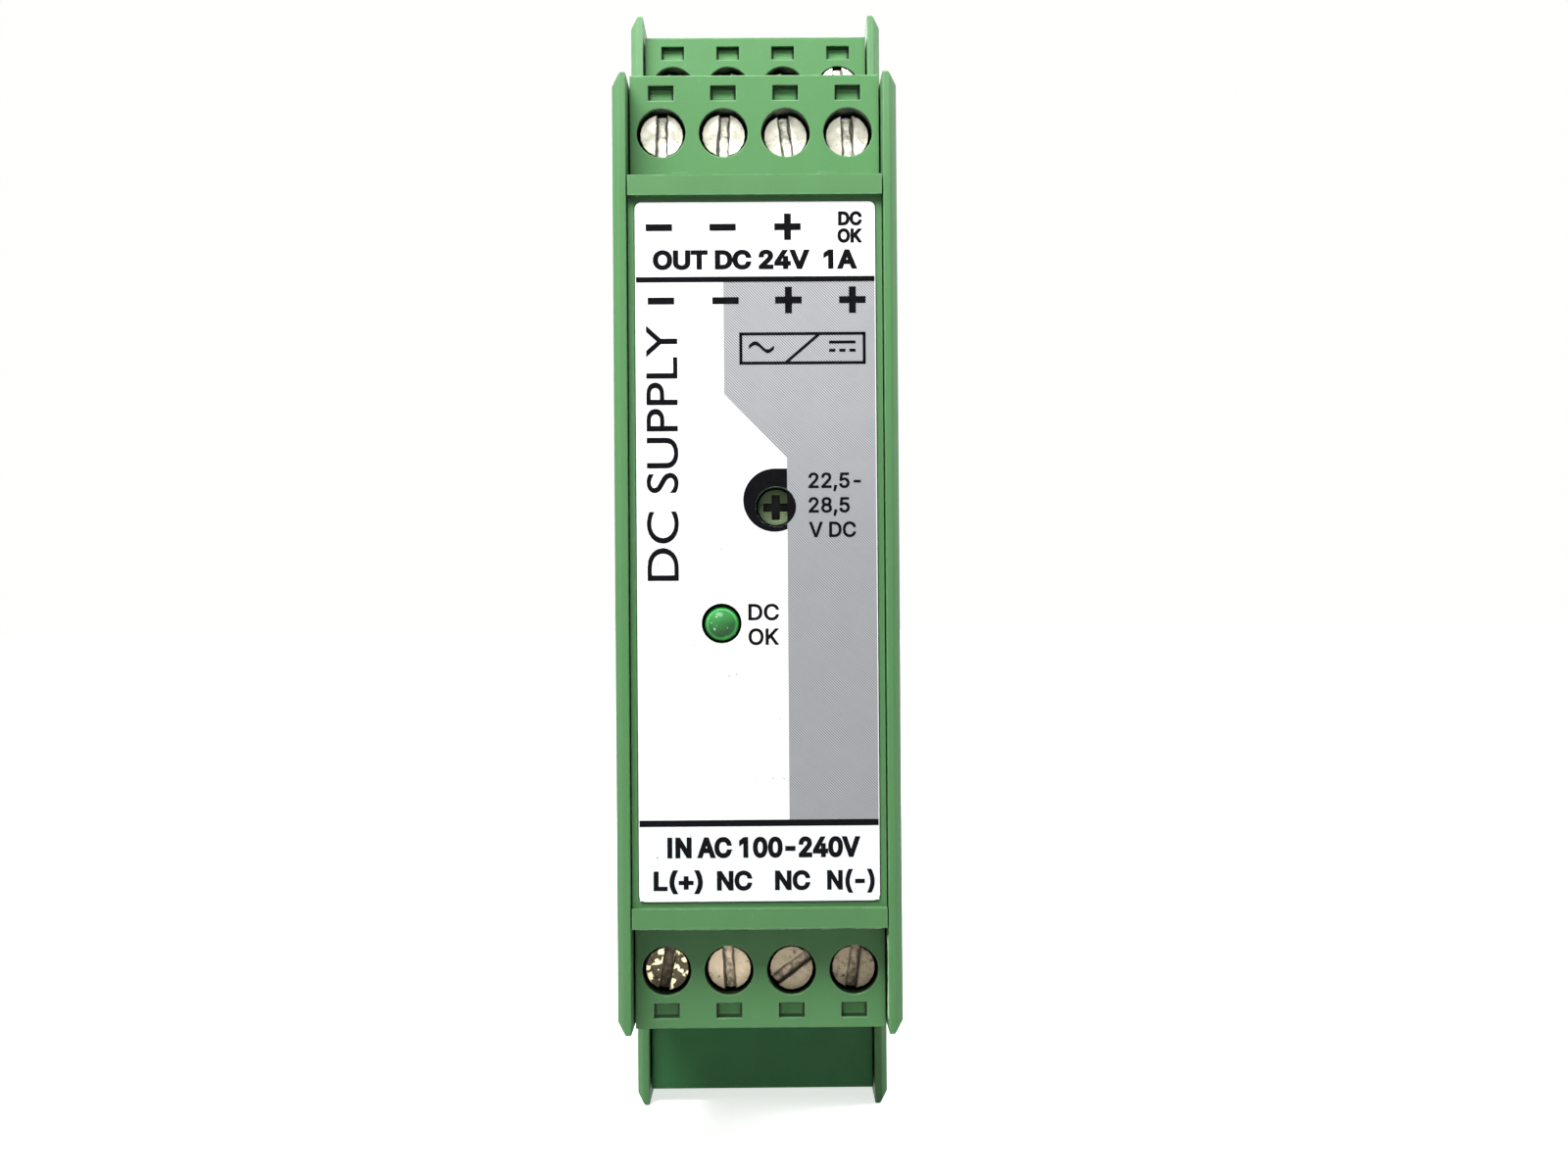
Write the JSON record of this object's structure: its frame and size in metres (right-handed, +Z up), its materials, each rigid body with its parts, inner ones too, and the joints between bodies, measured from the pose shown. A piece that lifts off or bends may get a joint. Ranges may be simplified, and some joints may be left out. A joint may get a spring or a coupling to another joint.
{
  "type": "din rail power supply",
  "caption": "Narrow green rail-mount power supply module with stepped pluggable screw terminals at both ends, a labelled front with status light and trimmer, and a sprung foot latch.",
  "frame": {"origin": "middle of the flat face that seats on the front of the 35 mm mounting rail", "axes": "+X along the rail, +Y from the front of the module towards the rail, +Z up when mounted"},
  "size_m": [0.0226, 0.1132, 0.0984],
  "materials": {
    "housing_green": "satin moulded polyamide",
    "blank_green": "satin moulded polyamide, darker",
    "plug_green": "satin moulded polyamide",
    "header_green": "satin moulded polyamide",
    "label_foil": "printed foil, semi-gloss",
    "latch_black": "matt moulded",
    "spring_steel": "drawn wire",
    "screw_plated": "plated, worn slot",
    "clamp_nickel": "plated",
    "circuit_board": "solder mask",
    "trimmer_blue": "semi-gloss",
    "rotor_grey": "satin",
    "led_green": "diffused lens",
    "ferrite": "sintered, matt",
    "bobbin_black": "matt moulded",
    "winding_tape": "polyester tape",
    "capacitor_sleeve": "shrink sleeve",
    "heatsink_aluminium": "rolled sheet",
    "chip_black": "moulded epoxy",
    "film_yellow": "moulded box",
    "fuse_ceramic": "glazed ceramic"
  },
  "bodies": {
    "root": {"housing_base": "housing_green", "front_cover": "housing_green", "front_label": "label_foil", "terminal_blank": "blank_green", "latch_spring": "spring_steel", "top_front_header": "header_green", "top_rear_header": "header_green", "bottom_front_header": "header_green", "main_board": "circuit_board", "front_board": "circuit_board", "trimmer_body": "trimmer_blue", "status_led": "led_green", "transformer_core_upper": "ferrite", "transformer_core_lower": "ferrite", "transformer_bobbin": "bobbin_black", "transformer_winding": "winding_tape", "bulk_capacitor": "capacitor_sleeve", "output_capacitor_1": "capacitor_sleeve", "output_capacitor_2": "capacitor_sleeve", "heatsink": "heatsink_aluminium", "switching_transistor": "chip_black", "output_rectifier": "chip_black", "mains_choke_core": "ferrite", "mains_filter_capacitor": "film_yellow", "mains_fuse": "fuse_ceramic", "surge_absorber": "trimmer_blue", "bridge_rectifier": "chip_black", "feedback_optocoupler": "chip_black", "control_chip": "chip_black", "output_choke": "ferrite"},
    "top_front_plug": {"top_front_plug": "plug_green"},
    "top_front_screw_1": {"top_front_screw_1": "screw_plated"},
    "top_front_clamp_1": {"top_front_clamp_1": "clamp_nickel"},
    "top_front_screw_2": {"top_front_screw_2": "screw_plated"},
    "top_front_clamp_2": {"top_front_clamp_2": "clamp_nickel"},
    "top_front_screw_3": {"top_front_screw_3": "screw_plated"},
    "top_front_clamp_3": {"top_front_clamp_3": "clamp_nickel"},
    "top_front_screw_4": {"top_front_screw_4": "screw_plated"},
    "top_front_clamp_4": {"top_front_clamp_4": "clamp_nickel"},
    "top_rear_plug": {"top_rear_plug": "plug_green"},
    "top_rear_screw_1": {"top_rear_screw_1": "screw_plated"},
    "top_rear_clamp_1": {"top_rear_clamp_1": "clamp_nickel"},
    "top_rear_screw_2": {"top_rear_screw_2": "screw_plated"},
    "top_rear_clamp_2": {"top_rear_clamp_2": "clamp_nickel"},
    "top_rear_screw_3": {"top_rear_screw_3": "screw_plated"},
    "top_rear_clamp_3": {"top_rear_clamp_3": "clamp_nickel"},
    "top_rear_screw_4": {"top_rear_screw_4": "screw_plated"},
    "top_rear_clamp_4": {"top_rear_clamp_4": "clamp_nickel"},
    "bottom_front_plug": {"bottom_front_plug": "plug_green"},
    "bottom_front_screw_1": {"bottom_front_screw_1": "screw_plated"},
    "bottom_front_clamp_1": {"bottom_front_clamp_1": "clamp_nickel"},
    "bottom_front_screw_2": {"bottom_front_screw_2": "screw_plated"},
    "bottom_front_clamp_2": {"bottom_front_clamp_2": "clamp_nickel"},
    "bottom_front_screw_3": {"bottom_front_screw_3": "screw_plated"},
    "bottom_front_clamp_3": {"bottom_front_clamp_3": "clamp_nickel"},
    "bottom_front_screw_4": {"bottom_front_screw_4": "screw_plated"},
    "bottom_front_clamp_4": {"bottom_front_clamp_4": "clamp_nickel"},
    "foot_latch": {"foot_latch": "latch_black"},
    "trimmer_rotor": {"trimmer_rotor": "rotor_grey"}
  },
  "joints": [
    {"name": "top_front_plug_pull", "type": "slide", "parent": "root", "child": "top_front_plug", "axis": [0, 0, 1], "range_m": [0, 0.014]},
    {"name": "top_front_screw_1_turn", "type": "hinge", "parent": "top_front_plug", "child": "top_front_screw_1", "pos_m": [-0.0075, -0.1023, 0.0338], "axis": [0, 1, 0], "range_deg": [0, 1440]},
    {"name": "top_front_clamp_1_rise", "type": "slide", "parent": "top_front_plug", "child": "top_front_clamp_1", "axis": [0, -1, 0], "range_m": [0, 0.002]},
    {"name": "top_front_screw_2_turn", "type": "hinge", "parent": "top_front_plug", "child": "top_front_screw_2", "pos_m": [-0.0025, -0.1023, 0.0338], "axis": [0, 1, 0], "range_deg": [0, 1440]},
    {"name": "top_front_clamp_2_rise", "type": "slide", "parent": "top_front_plug", "child": "top_front_clamp_2", "axis": [0, -1, 0], "range_m": [0, 0.002]},
    {"name": "top_front_screw_3_turn", "type": "hinge", "parent": "top_front_plug", "child": "top_front_screw_3", "pos_m": [0.0025, -0.1023, 0.0338], "axis": [0, 1, 0], "range_deg": [0, 1440]},
    {"name": "top_front_clamp_3_rise", "type": "slide", "parent": "top_front_plug", "child": "top_front_clamp_3", "axis": [0, -1, 0], "range_m": [0, 0.002]},
    {"name": "top_front_screw_4_turn", "type": "hinge", "parent": "top_front_plug", "child": "top_front_screw_4", "pos_m": [0.0075, -0.1023, 0.0338], "axis": [0, 1, 0], "range_deg": [0, 1440]},
    {"name": "top_front_clamp_4_rise", "type": "slide", "parent": "top_front_plug", "child": "top_front_clamp_4", "axis": [0, -1, 0], "range_m": [0, 0.002]},
    {"name": "top_rear_plug_pull", "type": "slide", "parent": "root", "child": "top_rear_plug", "axis": [0, 0, 1], "range_m": [0, 0.014]},
    {"name": "top_rear_screw_1_turn", "type": "hinge", "parent": "top_rear_plug", "child": "top_rear_screw_1", "pos_m": [-0.0075, -0.082, 0.04285], "axis": [0, 1, 0], "range_deg": [0, 1440]},
    {"name": "top_rear_clamp_1_rise", "type": "slide", "parent": "top_rear_plug", "child": "top_rear_clamp_1", "axis": [0, -1, 0], "range_m": [0, 0.002]},
    {"name": "top_rear_screw_2_turn", "type": "hinge", "parent": "top_rear_plug", "child": "top_rear_screw_2", "pos_m": [-0.0025, -0.082, 0.04285], "axis": [0, 1, 0], "range_deg": [0, 1440]},
    {"name": "top_rear_clamp_2_rise", "type": "slide", "parent": "top_rear_plug", "child": "top_rear_clamp_2", "axis": [0, -1, 0], "range_m": [0, 0.002]},
    {"name": "top_rear_screw_3_turn", "type": "hinge", "parent": "top_rear_plug", "child": "top_rear_screw_3", "pos_m": [0.0025, -0.082, 0.04285], "axis": [0, 1, 0], "range_deg": [0, 1440]},
    {"name": "top_rear_clamp_3_rise", "type": "slide", "parent": "top_rear_plug", "child": "top_rear_clamp_3", "axis": [0, -1, 0], "range_m": [0, 0.002]},
    {"name": "top_rear_screw_4_turn", "type": "hinge", "parent": "top_rear_plug", "child": "top_rear_screw_4", "pos_m": [0.0075, -0.082, 0.04285], "axis": [0, 1, 0], "range_deg": [0, 1440]},
    {"name": "top_rear_clamp_4_rise", "type": "slide", "parent": "top_rear_plug", "child": "top_rear_clamp_4", "axis": [0, -1, 0], "range_m": [0, 0.002]},
    {"name": "bottom_front_plug_pull", "type": "slide", "parent": "root", "child": "bottom_front_plug", "axis": [0, 0, -1], "range_m": [0, 0.014]},
    {"name": "bottom_front_screw_1_turn", "type": "hinge", "parent": "bottom_front_plug", "child": "bottom_front_screw_1", "pos_m": [0.0075, -0.1023, -0.0334], "axis": [0, 1, 0], "range_deg": [0, 1440]},
    {"name": "bottom_front_clamp_1_rise", "type": "slide", "parent": "bottom_front_plug", "child": "bottom_front_clamp_1", "axis": [0, -1, 0], "range_m": [0, 0.002]},
    {"name": "bottom_front_screw_2_turn", "type": "hinge", "parent": "bottom_front_plug", "child": "bottom_front_screw_2", "pos_m": [0.0025, -0.1023, -0.0334], "axis": [0, 1, 0], "range_deg": [0, 1440]},
    {"name": "bottom_front_clamp_2_rise", "type": "slide", "parent": "bottom_front_plug", "child": "bottom_front_clamp_2", "axis": [0, -1, 0], "range_m": [0, 0.002]},
    {"name": "bottom_front_screw_3_turn", "type": "hinge", "parent": "bottom_front_plug", "child": "bottom_front_screw_3", "pos_m": [-0.0025, -0.1023, -0.0334], "axis": [0, 1, 0], "range_deg": [0, 1440]},
    {"name": "bottom_front_clamp_3_rise", "type": "slide", "parent": "bottom_front_plug", "child": "bottom_front_clamp_3", "axis": [0, -1, 0], "range_m": [0, 0.002]},
    {"name": "bottom_front_screw_4_turn", "type": "hinge", "parent": "bottom_front_plug", "child": "bottom_front_screw_4", "pos_m": [-0.0075, -0.1023, -0.0334], "axis": [0, 1, 0], "range_deg": [0, 1440]},
    {"name": "bottom_front_clamp_4_rise", "type": "slide", "parent": "bottom_front_plug", "child": "bottom_front_clamp_4", "axis": [0, -1, 0], "range_m": [0, 0.002]},
    {"name": "foot_latch_pull", "type": "slide", "parent": "root", "child": "foot_latch", "axis": [0, 0, -1], "range_m": [0, 0.0035], "stiffness_N_per_m": 1500, "springref_m": -0.003, "deforming": ["latch_spring"]},
    {"name": "trimmer_turn", "type": "hinge", "parent": "root", "child": "trimmer_rotor", "pos_m": [0.0015, -0.1045, 0.0036], "axis": [0, 1, 0], "range_deg": [-135, 135]}
  ],
  "couplings": [
    {"joint": "top_front_screw_1_turn", "follows": "top_front_clamp_1_rise", "rad_per_m": 12566},
    {"joint": "top_front_screw_2_turn", "follows": "top_front_clamp_2_rise", "rad_per_m": 12566},
    {"joint": "top_front_screw_3_turn", "follows": "top_front_clamp_3_rise", "rad_per_m": 12566},
    {"joint": "top_front_screw_4_turn", "follows": "top_front_clamp_4_rise", "rad_per_m": 12566},
    {"joint": "top_rear_screw_1_turn", "follows": "top_rear_clamp_1_rise", "rad_per_m": 12566},
    {"joint": "top_rear_screw_2_turn", "follows": "top_rear_clamp_2_rise", "rad_per_m": 12566},
    {"joint": "top_rear_screw_3_turn", "follows": "top_rear_clamp_3_rise", "rad_per_m": 12566},
    {"joint": "top_rear_screw_4_turn", "follows": "top_rear_clamp_4_rise", "rad_per_m": 12566},
    {"joint": "bottom_front_screw_1_turn", "follows": "bottom_front_clamp_1_rise", "rad_per_m": 12566},
    {"joint": "bottom_front_screw_2_turn", "follows": "bottom_front_clamp_2_rise", "rad_per_m": 12566},
    {"joint": "bottom_front_screw_3_turn", "follows": "bottom_front_clamp_3_rise", "rad_per_m": 12566},
    {"joint": "bottom_front_screw_4_turn", "follows": "bottom_front_clamp_4_rise", "rad_per_m": 12566}
  ]
}
